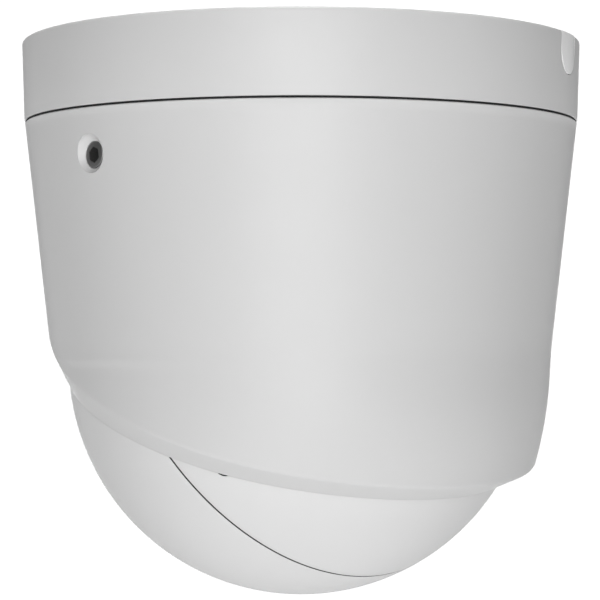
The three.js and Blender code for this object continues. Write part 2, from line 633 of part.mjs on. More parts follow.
eye.add(
  piece('tilt_motor', tiltMotor(), STEEL),
  piece('tilt_pinion', tiltPinion(), NYLON),
  piece('zoom_group', lensGroup(20, 23, 1), GLASS),
  piece('focus_group', lensGroup(7, 10, 1), GLASS),
  piece('ir_filter', block([-6, -7, 0.1], [6, 7, 1.1]), GLASS),
);

export default camera;
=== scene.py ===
# %% [markdown]
# # A turret camera that pans, tilts and zooms
#
# The object hangs from a ceiling. A round base is screwed to the ceiling, a tapered housing turns under
# it, and a ball that holds the lens tilts inside the housing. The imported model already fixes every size,
# place and joint. These cells give it its surfaces: smooth shells with real gaps between them, and a
# finish for every piece.

import json
import math

import bmesh
import bpy
from mathutils import Matrix, Vector


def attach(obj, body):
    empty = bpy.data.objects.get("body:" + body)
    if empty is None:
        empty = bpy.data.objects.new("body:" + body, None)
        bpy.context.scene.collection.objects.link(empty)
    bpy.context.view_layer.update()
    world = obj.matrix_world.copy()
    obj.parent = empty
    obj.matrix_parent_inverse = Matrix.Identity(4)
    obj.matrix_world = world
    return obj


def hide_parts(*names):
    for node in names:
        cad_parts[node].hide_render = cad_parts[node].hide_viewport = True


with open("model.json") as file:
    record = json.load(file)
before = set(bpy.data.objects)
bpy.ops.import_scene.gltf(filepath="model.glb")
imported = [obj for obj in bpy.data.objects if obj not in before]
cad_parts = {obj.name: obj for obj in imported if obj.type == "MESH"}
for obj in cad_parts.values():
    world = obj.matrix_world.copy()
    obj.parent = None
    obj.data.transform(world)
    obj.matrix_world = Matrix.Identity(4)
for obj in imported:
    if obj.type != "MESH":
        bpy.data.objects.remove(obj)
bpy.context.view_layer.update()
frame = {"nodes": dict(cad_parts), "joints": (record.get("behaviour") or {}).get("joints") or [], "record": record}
MM = 0.001

# %% [markdown]
# The joints say where the shapes sit. The tilt joint's place is the centre of the ball, and the zoom
# lens slides along the lens axis, so both are read from the frame instead of being typed again.

# %% Places taken from the joints
joints = {joint["name"]: joint for joint in frame["joints"]}
ball_centre = Vector(joints["tilt"]["pos_m"])
lens_axis = Vector(joints["zoom"]["axis"]).normalized()
lens_drop = math.asin(-lens_axis.z)
eye_place = Matrix.Translation(ball_centre) @ Matrix.Rotation(math.pi / 2 + lens_drop, 4, "X")
BALL_Z = ball_centre.z / MM
print("ball centre at", round(BALL_Z, 2), "mm, lens", round(math.degrees(lens_drop), 1), "degrees down")

# %% [markdown]
# The view looks at the rear right of the object from its own height, about 0.4 m away, with a long lens
# that keeps the base and the ball in proportion.

# %% View from behind the shoulder
VIEW_AZIMUTH = math.radians(135.7)
VIEW_DISTANCE = 0.4348
VIEW_HEIGHT = -0.0565
VIEW_PITCH = math.radians(0.573)
VIEW_LENS = 126.68
VIEW_SHIFT = -0.00155
back = Vector((math.sin(VIEW_AZIMUTH), -math.cos(VIEW_AZIMUTH), 0))
look = -back * math.cos(VIEW_PITCH) + Vector((0, 0, math.sin(VIEW_PITCH)))
camera_data = bpy.data.cameras.new("view")
camera_data.lens = VIEW_LENS
camera_data.sensor_width = 36
camera_data.shift_x = VIEW_SHIFT
camera = bpy.data.objects.new("view", camera_data)
camera.location = back * VIEW_DISTANCE + Vector((0, 0, VIEW_HEIGHT))
camera.rotation_euler = look.to_track_quat("-Z", "Y").to_euler()
bpy.context.scene.collection.objects.link(camera)
bpy.context.scene.camera = camera
print("camera at", [round(value, 3) for value in camera.location])

# %% [markdown]
# ## Working by spinning outlines
#
# Nearly every piece of a turret camera is turned, so one helper spins an outline of (radius, height)
# pairs round the upright axis. It numbers the outline's rows, because the housing needs to know later
# which row each vertex came from. Azimuths run from the front (-Y) towards +X. Outlines, radii, heights
# and bevels are in millimetres, and become metres only as vertices are made.

# %% Spin an outline
SHELL_STEPS = 192
RING_STEPS = 160


def spun(outline, steps=128):
    bm = bmesh.new()
    row = bm.verts.layers.int.new("row")
    verts = []
    for number, (radius, height) in enumerate(outline):
        vert = bm.verts.new((0, -radius * MM, height * MM))
        vert[row] = number
        verts.append(vert)
    pairs = list(zip(verts, verts[1:]))
    if outline[0][0] > 0:
        pairs.append((verts[-1], verts[0]))
    edges = [bm.edges.new(pair) for pair in pairs]
    bmesh.ops.spin(bm, geom=verts + edges, cent=(0, 0, 0), axis=(0, 0, 1), dvec=(0, 0, 0),
                   angle=math.tau, steps=steps, use_merge=True, use_duplicate=False)
    bmesh.ops.remove_doubles(bm, verts=bm.verts, dist=1e-7)
    bmesh.ops.recalc_face_normals(bm, faces=bm.faces)
    return bm


def soften(bm, width, segments=4, angle=40):
    limit = math.radians(angle)
    sharp = [edge for edge in bm.edges if edge.is_manifold and edge.calc_face_angle() > limit]
    bmesh.ops.bevel(bm, geom=sharp, offset=width * MM, offset_type="OFFSET", affect="EDGES",
                    segments=segments, profile=0.5, material=-1, clamp_overlap=True)
    return bm


def arc(radius, start, end, steps):
    """Outline points on a ball, by their angle above its equator in degrees."""
    angles = [math.radians(start + (end - start) * i / steps) for i in range(steps + 1)]
    return [(radius * math.cos(angle), radius * math.sin(angle)) for angle in angles]


def latitude(radius, height):
    return math.degrees(math.asin(height / radius))


def fillet(before, corner, after, reach, steps):
    """Points of a small curve that rounds a corner, starting `reach` mm before it."""
    before, corner, after = Vector(before), Vector(corner), Vector(after)
    start = corner + (before - corner).normalized() * reach
    end = corner + (after - corner).normalized() * reach
    shares = [i / steps for i in range(steps + 1)]
    return [tuple(start * (1 - t) ** 2 + corner * 2 * t * (1 - t) + end * t * t) for t in shares]


print("helpers ready: spun, soften, arc, fillet")

# %% [markdown]
# Holes and pockets are cut with the Boolean modifier, which is applied at once, so a finished piece is a
# plain mesh. Each cutter is a bmesh too, and it is thrown away after the cut.

# %% Cutting and joining
def as_object(bm, name):
    mesh = bpy.data.meshes.new(name)
    bm.to_mesh(mesh)
    bm.free()
    thing = bpy.data.objects.new(name, mesh)
    bpy.context.scene.collection.objects.link(thing)
    return thing


def combined(bm, tools, operation="DIFFERENCE"):
    things = [as_object(bm, "work")]
    for tool in tools:
        cutter = as_object(tool, "tool")
        modifier = things[0].modifiers.new("shape", "BOOLEAN")
        modifier.operation = operation
        modifier.solver = "EXACT"
        modifier.object = cutter
        things.append(cutter)
    depsgraph = bpy.context.evaluated_depsgraph_get()
    mesh = bpy.data.meshes.new_from_object(things[0].evaluated_get(depsgraph))
    result = bmesh.new()
    result.from_mesh(mesh)
    bpy.data.meshes.remove(mesh)
    for thing in things:
        bpy.data.meshes.remove(thing.data)
    bmesh.ops.remove_doubles(result, verts=result.verts, dist=2e-7)
    return result


def moved(bm, matrix):
    bmesh.ops.transform(bm, matrix=matrix, verts=bm.verts)
    return bm


def rod(radius, low, high, steps=48):
    return spun([(0, low), (radius, low), (radius, high), (0, high)], steps)


def facing(azimuth, height=0.0):
    """Turns +Z outwards to an azimuth, with +Y up, at a height in mm."""
    turn = Matrix.Rotation(math.radians(azimuth), 4, "Z") @ Matrix.Rotation(math.pi / 2, 4, "X")
    return Matrix.Translation((0, 0, height * MM)) @ turn


def at_azimuth(circle, azimuth):
    angle = math.radians(azimuth)
    return Matrix.Translation((circle * MM * math.sin(angle), -circle * MM * math.cos(angle), 0))


print("helpers ready: combined, moved, rod")

# %% [markdown]
# ## Finishes
#
# Each finish is a small node tree on object coordinates, in metres. A noise scale of 1000 is therefore
# a grain of about a millimetre. Powder coat, moulded plastic, rubber and cast alloy all differ more in
# their grain and in how their gloss varies than in their colour.

# %% Node helpers
def new_finish(name, base, roughness, metallic=0.0):
    material = bpy.data.materials.new(name)
    material.use_nodes = True
    shader = material.node_tree.nodes["Principled BSDF"]
    shader.inputs["Base Color"].default_value = (*base, 1)
    shader.inputs["Roughness"].default_value = roughness
    shader.inputs["Metallic"].default_value = metallic
    coords = material.node_tree.nodes.new("ShaderNodeTexCoord").outputs["Object"]
    return material, shader, coords


def noise(material, coords, scale, detail=3.0, stretch=None):
    nodes, links = material.node_tree.nodes, material.node_tree.links
    if stretch:
        mapping = nodes.new("ShaderNodeMapping")
        mapping.inputs["Scale"].default_value = stretch
        links.new(coords, mapping.inputs["Vector"])
        coords = mapping.outputs["Vector"]
    texture = nodes.new("ShaderNodeTexNoise")
    texture.inputs["Scale"].default_value = scale
    texture.inputs["Detail"].default_value = detail
    links.new(coords, texture.inputs["Vector"])
    return texture.outputs["Fac"]


def colour_between(material, factor, low, high):
    nodes, links = material.node_tree.nodes, material.node_tree.links
    mix = nodes.new("ShaderNodeMix")
    mix.data_type = "RGBA"
    links.new(factor, mix.inputs["Factor"])
    mix.inputs["A"].default_value = (*low, 1)
    mix.inputs["B"].default_value = (*high, 1)
    links.new(mix.outputs["Result"], nodes["Principled BSDF"].inputs["Base Color"])


def roughness_between(material, factor, low, high):
    nodes, links = material.node_tree.nodes, material.node_tree.links
    spread = nodes.new("ShaderNodeMapRange")
    spread.inputs["To Min"].default_value = low
    spread.inputs["To Max"].default_value = high
    links.new(factor, spread.inputs["Value"])
    links.new(spread.outputs["Result"], nodes["Principled BSDF"].inputs["Roughness"])


def bump(material, height, depth_mm, strength=1.0, below=None):
    nodes, links = material.node_tree.nodes, material.node_tree.links
    node = nodes.new("ShaderNodeBump")
    node.inputs["Distance"].default_value = depth_mm * MM
    node.inputs["Strength"].default_value = strength
    links.new(height, node.inputs["Height"])
    if below:
        links.new(below, node.inputs["Normal"])
    links.new(node.outputs["Normal"], nodes["Principled BSDF"].inputs["Normal"])
    return node.outputs["Normal"]


print("node helpers ready")

# %% [markdown]
# **Powder coat.** The shells are die-cast and coated in a plain light grey. Powder flows out into a
# very shallow orange peel, a millimetre or so across, with a finer grain on top. A slow change in tone
# and gloss keeps a large plain shell from looking like one flat colour.

# %% Powder coat on the shells
def powder_coat(name, tone, gloss):
    material, shader, coords = new_finish(name, (tone,) * 3, gloss)
    colour_between(material, noise(material, coords, 22.0, 2.0), (tone * 0.985,) * 3, (tone * 1.01,) * 3)
    roughness_between(material, noise(material, coords, 160.0, 4.0), gloss - 0.05, gloss + 0.07)
    peel = bump(material, noise(material, coords, 780.0, 1.5), 0.012, 0.5)
    bump(material, noise(material, coords, 4200.0, 2.0), 0.004, 0.5, below=peel)
    return material


coat_body = powder_coat("powder_coat", 0.66, 0.44)
coat_ball = powder_coat("powder_coat_ball", 0.7, 0.42)
coat_plug = powder_coat("moulded_plug", 0.97, 0.36)
print("made", coat_body.name, coat_ball.name, coat_plug.name)

# %% [markdown]
# **Rubber and black plastics.** Seals are matt and take dust, so their grey wanders a little. The mask
# behind the window has a spark-eroded grain that kills reflections.

# %% Rubber, mask and boards
def rubber():
    material, shader, coords = new_finish("seal_rubber", (0.014, 0.014, 0.015), 0.8)
    colour_between(material, noise(material, coords, 90.0, 5.0), (0.010, 0.010, 0.011), (0.026, 0.026, 0.027))
    bump(material, noise(material, coords, 2500.0, 3.0), 0.02, 0.6)
    shader.inputs["Specular IOR Level"].default_value = 0.25
    return material


def grained_black(name, tone, roughness):
    material, shader, coords = new_finish(name, (tone,) * 3, roughness)
    roughness_between(material, noise(material, coords, 300.0, 4.0), roughness - 0.08, roughness + 0.1)
    colour_between(material, noise(material, coords, 120.0, 3.0), (tone * 0.8,) * 3, (tone * 1.3,) * 3)
    bump(material, noise(material, coords, 3600.0, 2.0), 0.015, 0.8)
    return material


def circuit_board():
    material, shader, coords = new_finish("circuit_board", (0.012, 0.07, 0.03), 0.38)
    nodes, links = material.node_tree.nodes, material.node_tree.links
    tracks = nodes.new("ShaderNodeTexBrick")
    tracks.inputs["Scale"].default_value = 420.0
    tracks.inputs["Mortar Size"].default_value = 0.09
    tracks.inputs["Color1"].default_value = (0.010, 0.055, 0.024, 1)
    tracks.inputs["Color2"].default_value = (0.014, 0.08, 0.034, 1)
    tracks.inputs["Mortar"].default_value = (0.035, 0.16, 0.06, 1)
    links.new(coords, tracks.inputs["Vector"])
    links.new(tracks.outputs["Color"], shader.inputs["Base Color"])
    bump(material, tracks.outputs["Fac"], 0.03, 0.5)
    return material


seal_rubber = rubber()
mask_black = grained_black("mask_black", 0.012, 0.55)
case_black = grained_black("component_black", 0.02, 0.45)
board_green = circuit_board()
print("made", seal_rubber.name, mask_black.name, case_black.name, board_green.name)

# %% [markdown]
# **Metals and nylon.** Turned steel shows fine rings, which a noise that is squeezed along one axis
# imitates. Die-cast alloy is cloudier and softer. Natural nylon is slightly yellow and lets a little
# light in, so it gets some subsurface scatter.

# %% Metals and nylon
def turned_steel(name, tone, roughness):
    material, shader, coords = new_finish(name, (tone, tone, tone * 1.02), roughness, 1.0)
    rings = noise(material, coords, 900.0, 3.0, stretch=(1.0, 1.0, 9.0))
    roughness_between(material, rings, roughness - 0.07, roughness + 0.1)
    colour_between(material, noise(material, coords, 240.0, 4.0), (tone * 0.8,) * 3, (tone * 1.1,) * 3)
    bump(material, rings, 0.01, 0.5)
    return material


def cast_alloy():
    material, shader, coords = new_finish("cast_alloy", (0.5, 0.51, 0.53), 0.42, 1.0)
    colour_between(material, noise(material, coords, 70.0, 5.0), (0.4, 0.41, 0.42), (0.56, 0.57, 0.59))
    roughness_between(material, noise(material, coords, 500.0, 4.0), 0.34, 0.55)
    bump(material, noise(material, coords, 1500.0, 3.0), 0.03, 0.6)
    return material


def natural_nylon():
    material, shader, coords = new_finish("natural_nylon", (0.74, 0.71, 0.62), 0.45)
    colour_between(material, noise(material, coords, 60.0, 3.0), (0.7, 0.67, 0.57), (0.78, 0.75, 0.67))
    bump(material, noise(material, coords, 2000.0, 2.0), 0.01, 0.5)
    shader.inputs["Subsurface Weight"].default_value = 0.15
    shader.inputs["Subsurface Radius"].default_value = (0.002, 0.0016, 0.001)
    return material


steel = turned_steel("turned_steel", 0.5, 0.32)
black_steel = turned_steel("black_oxide_steel", 0.34, 0.42)
alloy = cast_alloy()
nylon = natural_nylon()
print("made", steel.name, black_steel.name, alloy.name, nylon.name)

# %% [markdown]
# ** Window, lens and LEDs.** The flat window is smoked, so it looks nearly black from the side and lets
# the lens show from the front. Clear light paths straight through a thin flat pane are a mix of a
# tinted transparent shader and a mirror, weighted by Fresnel. The lens elements are solid glass with a
# violet coating, and a painted violet reflection tints their colour where they are seen at a grazing
# angle. The LEDs are clear epoxy.

# %% Glass and epoxy
def smoked_window():
    material, shader, coords = new_finish("smoked_window", (0.02, 0.022, 0.026), 0.03)
    nodes, links = material.node_tree.nodes, material.node_tree.links
    shader.inputs["Specular IOR Level"].default_value = 0.6
    roughness_between(material, noise(material, coords, 60.0, 2.0), 0.015, 0.04)
    clear = nodes.new("ShaderNodeBsdfTransparent")
    clear.inputs["Color"].default_value = (0.86, 0.87, 0.9, 1)
    fresnel = nodes.new("ShaderNodeFresnel")
    fresnel.inputs["IOR"].default_value = 1.5
    share = nodes.new("ShaderNodeMapRange")
    share.inputs["To Min"].default_value = 0.04
    links.new(fresnel.outputs["Fac"], share.inputs["Value"])
    mix = nodes.new("ShaderNodeMixShader")
    links.new(share.outputs["Result"], mix.inputs["Fac"])
    links.new(clear.outputs["BSDF"], mix.inputs[1])
    links.new(shader.outputs["BSDF"], mix.inputs[2])
    links.new(mix.outputs["Shader"], nodes["Material Output"].inputs["Surface"])
    return material


def coated_lens():
    material, shader, coords = new_finish("coated_lens", (0.01, 0.008, 0.02), 0.03)
    nodes, links = material.node_tree.nodes, material.node_tree.links
    # Painted reflection: the colour goes from near black face on to violet at grazing angles, standing in for the
    # glint of the coating.
    rim = nodes.new("ShaderNodeLayerWeight")
    rim.inputs["Blend"].default_value = 0.35
    colour_between(material, rim.outputs["Facing"], (0.006, 0.006, 0.012), (0.09, 0.04, 0.2))
    roughness_between(material, noise(material, coords, 200.0, 2.0), 0.01, 0.035)
    shader.inputs["Coat Weight"].default_value = 1.0
    shader.inputs["Coat Tint"].default_value = (0.75, 0.65, 1.0, 1)
    return material


def clear_epoxy():
    material, shader, coords = new_finish("clear_epoxy", (0.62, 0.64, 0.68), 0.1)
    colour_between(material, noise(material, coords, 400.0, 2.0), (0.5, 0.52, 0.56), (0.7, 0.72, 0.75))
    roughness_between(material, noise(material, coords, 700.0, 2.0), 0.05, 0.14)
    shader.inputs["Transmission Weight"].default_value = 0.45
    shader.inputs["Coat Weight"].default_value = 0.6
    return material


window_glass = smoked_window()
lens_glass = coated_lens()
epoxy = clear_epoxy()
print("made", window_glass.name, lens_glass.name, epoxy.name)

# %% [markdown]
# ## Turning a bmesh into a piece
#
# A finished piece sits at the origin with its place in its mesh. Faces are smooth, and only edges that
# turn sharply are marked sharp, so bevels catch the light. The piece then rides on its body, takes its
# finish and stands for the plain node that it replaces.

# %% Finish a piece
SHARP = math.radians(32)


def piece(bm, name, material, slot, body, *nodes, place=None):
    if place is not None:
        moved(bm, place)
    bmesh.ops.recalc_face_normals(bm, faces=bm.faces)
    for face in bm.faces:
        face.smooth = True
    for edge in bm.edges:
        edge.smooth = not (edge.is_manifold and edge.calc_face_angle() > SHARP)
    thing = as_object(bm, name)
    thing.data.materials.append(material)
    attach(thing, body)
    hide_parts(*nodes)
    print(name, "has", len(thing.data.polygons), "faces")
    return thing


# %% [markdown]
# ## The base on the ceiling
#
# The base is a shallow die-cast cup, upside down. Its wall leans in by half a millimetre, its top edge
# is only just rounded, and a foam ring in its top face seals it to the ceiling. It could be made from a
# bevelled cylinder, but a spun outline gives the cup, the foam groove and the pivot boss in one go.

# %% Base cup
BASE_TOP = 57.0
BASE_SEAM = 56.5
BASE_INNER = 54.0
PLATE = 2.5
PAN_SEAM_Z = -16.15
SEAM_HALF = 0.2
base_bottom = PAN_SEAM_Z + SEAM_HALF
SLOT_AZIMUTH = 203
SLOT_WIDTH = 9.5
SLOT_DEPTH = 8.3
CABLE_HOLE_Y = 25.0
CABLE_HOLE = 8.3
PIVOT_BORE = 4.8
PIVOT_BOSS = 9.0
FOAM_GROOVE = (50.2, 53.3)
TOP_EDGE_ROUND = 0.7
MOUNT_SCREWS = (60, 180, 300)
MOUNT_CIRCLE = 41.0
MOUNT_HOLE = 2.3
BOARD_POSTS = (-75, 75)
BOARD_POST_CIRCLE = 24.0


def slot_block(width, depth, inner, outer):
    """A radial block with a full-round bottom, from `inner` to `outer` mm."""
    bm = bmesh.new()
    bmesh.ops.create_cube(bm, size=1)
    size = Vector((width, depth + 2, outer - inner)) * MM
    moved(bm, Matrix.Diagonal((*size, 1)))
    moved(bm, Matrix.Translation((0, (2 - depth) / 2 * MM, (inner + outer) / 2 * MM)))
    low = min(vert.co.y for vert in bm.verts)
    rails = [edge for edge in bm.edges if all(vert.co.y < low + 1e-6 for vert in edge.verts)
             and abs(edge.verts[0].co.z - edge.verts[1].co.z) > MM]
    bmesh.ops.bevel(bm, geom=rails, offset=width / 2 * 0.995 * MM, offset_type="OFFSET", affect="EDGES",
                    segments=12, profile=0.5, material=-1, clamp_overlap=True)
    return moved(bm, facing(SLOT_AZIMUTH))


base = soften(spun([
    (0, -4), (PIVOT_BORE, -4), (PIVOT_BORE, -9), (PIVOT_BOSS, -9), (PIVOT_BOSS, -PLATE),
    (BASE_INNER, -PLATE), (BASE_INNER, base_bottom), (BASE_SEAM, base_bottom),
] + fillet((BASE_SEAM, base_bottom), (BASE_TOP, 0), (BASE_INNER, 0), TOP_EDGE_ROUND, 6) + [
    (FOAM_GROOVE[1], 0), (FOAM_GROOVE[1], -1), (FOAM_GROOVE[0], -1), (FOAM_GROOVE[0], 0), (0, 0),
], SHELL_STEPS), 0.14, 3)
posts = [moved(rod(2.6, -3.7, -PLATE + 0.5), at_azimuth(BOARD_POST_CIRCLE, azimuth))
         for azimuth in BOARD_POSTS]
base = combined(base, posts, "UNION")
holes = [moved(rod(MOUNT_HOLE, -6, 2), at_azimuth(MOUNT_CIRCLE, azimuth)) for azimuth in MOUNT_SCREWS]
holes.append(moved(rod(CABLE_HOLE, -6, 2, 64), at_azimuth(CABLE_HOLE_Y, 180)))
holes.append(slot_block(SLOT_WIDTH, SLOT_DEPTH, BASE_INNER - 0.5, BASE_TOP + 1))
piece(combined(base, holes), "base_cup", coat_body, "white_paint", "base", "mounting_base")

# %% [markdown]
# A moulded plug closes the side cable slot. It follows the wall's curve, stands back from it by a
# hair, and leaves a fine dark line all round. The foam ring and the cable grommet are soft, so their
# edges are rounder than the metal's.

# %% Slot plug, foam ring and grommet
PLUG_GAP = 0.18
PLUG_RADIUS = BASE_TOP - 0.12
plug_wall = spun([
    (BASE_INNER + 0.2, -SLOT_DEPTH - 1), (PLUG_RADIUS, -SLOT_DEPTH - 1), (PLUG_RADIUS, -0.1),
    (BASE_INNER + 0.2, -0.1),
], SHELL_STEPS)
plug_block = slot_block(SLOT_WIDTH - 2 * PLUG_GAP, SLOT_DEPTH - PLUG_GAP, 50, 60)
plug = combined(plug_wall, [plug_block], "INTERSECT")
piece(soften(plug, 0.18, 3, 50), "slot_plug", coat_plug, "white_paint", "base", "conduit_plug")
foam = soften(spun([(50.6, -0.7), (52.9, -0.7), (52.9, -0.05), (50.6, -0.05)], RING_STEPS), 0.25)
piece(foam, "ceiling_foam", seal_rubber, "rubber", "base", "ceiling_gasket")
GROMMET_BORE = 5.5
GROMMET_FLANGE = 9.6
GROMMET_NECK = 8.0
grommet = soften(spun([
    (GROMMET_BORE, -4.4), (GROMMET_FLANGE, -4.4), (GROMMET_FLANGE, -2.8), (GROMMET_NECK, -2.8),
    (GROMMET_NECK, -0.2), (GROMMET_BORE, -0.2),
], 64), 0.4)
piece(grommet, "cable_gland", seal_rubber, "rubber", "base", "cable_grommet",
      place=at_azimuth(CABLE_HOLE_Y, 180))

# %% [markdown]
# ## The panning housing
#
# The housing is a tapered shell that is cut off at a slant, high over the lens and low at the back. Its
# rim is a flat band, wide at the front and narrow at the back, and both edges of the band are gentle
# curves when seen from the side. At the back the wall curls in under the ball like a chin, which is
# part of a cylinder that leans forward.
#
# It could be carved out of a cone with a slanted cutter, but the mesh would get long thin faces along
# the rim. Here the outline is spun first, and then every vertex is slid to where its row belongs at its
# azimuth, so the faces stay even and follow the rim.

# %% Outline of the housing at one azimuth
HOUSING_TOP = PAN_SEAM_Z - SEAM_HALF
HOUSING_RADIUS = 56.4
TAPER = 0.1129
BREAK_RISE = 2.6
BREAK_TAPER = 0.052
CHIN_RADIUS = 51.8
CHIN_TILT = math.radians(20)
SOCKET = 48.0
WALL = 2.4


def soft_least(first, second, width=2.2):
    """The smaller of two values, with the corner between them rounded off."""
    share = max(width - abs(first - second), 0) / width
    return min(first, second) - share * share * width / 4


def outer_radius(azimuth, rise):
    tapered = HOUSING_RADIUS + TAPER * (BALL_Z + rise - PAN_SEAM_Z)
    eased = HOUSING_RADIUS + TAPER * (BALL_Z + BREAK_RISE - PAN_SEAM_Z) + BREAK_TAPER * (rise - BREAK_RISE)
    cone = max(tapered, eased) if rise < BREAK_RISE else tapered
    if rise > 0:
        return cone
    front = math.cos(azimuth)
    sin, cos = math.sin(CHIN_TILT), math.cos(CHIN_TILT)
    a = 1 - (front * sin) ** 2
    b = 2 * front * sin * cos * rise
    c = (rise * sin) ** 2 - CHIN_RADIUS ** 2
    chin = (-b + math.sqrt(b * b - 4 * a * c)) / (2 * a)
    return soft_least(cone, chin)


def socket_radius(rise):
    ball = math.sqrt(SOCKET ** 2 - rise ** 2)
    return max(ball, SOCKET - 0.3) if rise > 0 else ball


def edge_rise(azimuth, curve, radius_at):
    """Height of a rim edge. Its radius depends on its height, so the two are found in turns."""
    rise = 0.0
    for _ in range(20):
        rise = curve(math.cos(azimuth) * radius_at(rise))
    return rise


def outer_curve(front):
    return -9.0 + 0.3897 * front + 0.00178 * front * front


def inner_curve(front):
    return -14.22 + 0.3522 * front + 0.00161 * front * front


WALL_ROWS = 56
SOCKET_ROWS = 12
OUTER_ROUND = 0.55
INNER_ROUND = 0.3
TOP_ROUND = 0.25
SHOULDER_RISE = 10.5


def housing_outline(azimuth):
    low = edge_rise(azimuth, outer_curve, lambda rise: outer_radius(azimuth, rise))
    inner = edge_rise(azimuth, inner_curve, socket_radius)
    rim_in = (socket_radius(inner), inner)
    rim_out = (outer_radius(azimuth, low), low)
    inside_up = (socket_radius(inner + 1), inner + 1)
    outside_up = (outer_radius(azimuth, low + 1), low + 1)
    top = HOUSING_TOP - BALL_Z
    points = fillet(inside_up, rim_in, rim_out, INNER_ROUND, 4)
    points += fillet(rim_in, rim_out, outside_up, OUTER_ROUND, 6)
    start = low + OUTER_ROUND
    for number in range(1, WALL_ROWS + 1):
        rise = start + (top - 0.3 - start) * (number / WALL_ROWS) ** 1.5
        points.append((outer_radius(azimuth, rise), rise))
    crown = outer_radius(azimuth, top)
    points += fillet((crown, top - 1), (crown, top), (crown - 1, top), TOP_ROUND, 3)
    points.append((BASE_INNER - 0.1, top))
    points.append((outer_radius(azimuth, SHOULDER_RISE) - WALL, SHOULDER_RISE))
    socket_top = SHOULDER_RISE - 1
    for number in range(SOCKET_ROWS):
        rise = socket_top + (inner + INNER_ROUND - socket_top) * number / SOCKET_ROWS
        points.append((socket_radius(rise), rise))
    return points


print("outline rows:", len(housing_outline(0.0)))

# %% [markdown]
# The M5 lock screw sits in a countersunk hole on the side, and two blind pockets inside take the tilt
# pins. They are cut last, when the shell already has its final curve.

# %% Housing shell
LOCK_Z = -25.2
LOCK_AZIMUTH = 90
LOCK_HOLE = 2.62
COUNTERSINK = 3.9
PIN_POCKET = 4.3
shell = spun([(radius, BALL_Z + rise) for radius, rise in housing_outline(0.0)], SHELL_STEPS)
row_of = shell.verts.layers.int["row"]
outlines = {}
for vert in shell.verts:
    step = round(math.atan2(vert.co.x, -vert.co.y) / math.tau * SHELL_STEPS) % SHELL_STEPS
    azimuth = step / SHELL_STEPS * math.tau
    if step not in outlines:
        outlines[step] = housing_outline(azimuth)
    radius, rise = outlines[step][vert[row_of]]
    vert.co = Vector((radius * math.sin(azimuth), -radius * math.cos(azimuth), BALL_Z + rise)) * MM
bmesh.ops.recalc_face_normals(shell, faces=shell.faces)

lock_surface = outer_radius(math.pi / 2, LOCK_Z - BALL_Z)
countersink = spun([
    (0, lock_surface - 5), (LOCK_HOLE, lock_surface - 5), (LOCK_HOLE, lock_surface - 1.1),
    (COUNTERSINK - 0.25, lock_surface - 0.3), (COUNTERSINK, lock_surface + 0.1),
    (COUNTERSINK, lock_surface + 3), (0, lock_surface + 3),
], 64)
cutters = [moved(countersink, facing(LOCK_AZIMUTH, LOCK_Z))]
cutters += [moved(rod(PIN_POCKET, 46, 49.6), facing(side, BALL_Z)) for side in (90, -90)]
piece(combined(shell, cutters), "housing_shell", coat_body, "white_paint", "head", "housing")

# %% [markdown]
# The lock screw is an M5 grub screw in black oxide with a 2.5 mm hexagon socket. Its cup point and
# socket are modelled, because the socket shows.

# %% Lock screw
SCREW_RADIUS = 2.5
HEXAGON_RADIUS = 1.56
lock_face = lock_surface - 1
grub = soften(spun([
    (0, lock_face - 8), (1.4, lock_face - 8), (SCREW_RADIUS, lock_face - 7), (SCREW_RADIUS, lock_face),
    (0, lock_face),
], 64), 0.22)
hexagon = bmesh.new()
bmesh.ops.create_cone(hexagon, cap_ends=True, segments=6, radius1=HEXAGON_RADIUS * MM,
                      radius2=HEXAGON_RADIUS * MM, depth=5 * MM)
moved(hexagon, Matrix.Translation((0, 0, lock_face * MM)) @ Matrix.Rotation(math.radians(8), 4, "Z"))
drill = moved(rod(1.32, 0, 1.2, 32), Matrix.Translation((0, 0, (lock_face - 3.2) * MM)))
piece(combined(grub, [hexagon, drill]), "grub_screw", black_steel, "dark_steel", "lock", "lock_screw",
      place=facing(LOCK_AZIMUTH, LOCK_Z))

# %% [markdown]
# A lip seal closes the pan seam from inside. Its lip reaches nearly to the surface, so the seam reads as
# a fine black line from every side.

# %% Pan seam seal
LIP_GAP = 0.04
LIP_RADIUS = HOUSING_RADIUS - 0.15
lip_top = base_bottom - LIP_GAP
lip_low = HOUSING_TOP + LIP_GAP
seal = soften(spun([
    (51.9, -17.6), (53.2, -17.6), (53.55, -16.8), (53.55, lip_low), (LIP_RADIUS, lip_low),
    (LIP_RADIUS, lip_top), (53.55, lip_top), (53.55, -15.6), (53.2, -13.6), (51.9, -13.6),
], SHELL_STEPS), 0.05, 2)
piece(seal, "pan_lip_seal", seal_rubber, "rubber", "head", "seam_seal")

# %% [markdown]
# ## The eye
#
# The eye is a ball in two shells that meet in a plane square to the lens axis. The front shell ends in a
# flat that holds the window. Both shells are spun arcs, and the joint edges get a small bevel so the
# black seam has soft shoulders. In the eye's own frame +Z is the lens axis.

# %% Front shell of the ball
BALL = 47.55
BALL_INNER = 45.35
WINDOW_PLANE = 39.0
WINDOW_RADIUS = 25.5
WINDOW_LEDGE = 23.5
LEDGE_BACK = 34.6
SEAM_BEVEL = 0.06
BUSH_HOLE = 5.6


def bush_holes():
    """Cutters for the two tilt bushes, which cross both shells and the gasket between them."""
    return [moved(rod(BUSH_HOLE, 40, 50), facing(side)) for side in (90, -90)]


front = soften(spun(
    arc(BALL, latitude(BALL, SEAM_HALF), latitude(BALL, WINDOW_PLANE), 40)
    + [(WINDOW_RADIUS, WINDOW_PLANE), (WINDOW_RADIUS, 36), (WINDOW_LEDGE, 36), (WINDOW_LEDGE, LEDGE_BACK)]
    + arc(BALL_INNER, latitude(BALL_INNER, LEDGE_BACK), latitude(BALL_INNER, SEAM_HALF), 24),
    SHELL_STEPS), SEAM_BEVEL, 2)
piece(combined(front, bush_holes()), "eye_front_shell", coat_ball, "white_paint", "eye", "front_shell",
      place=eye_place)

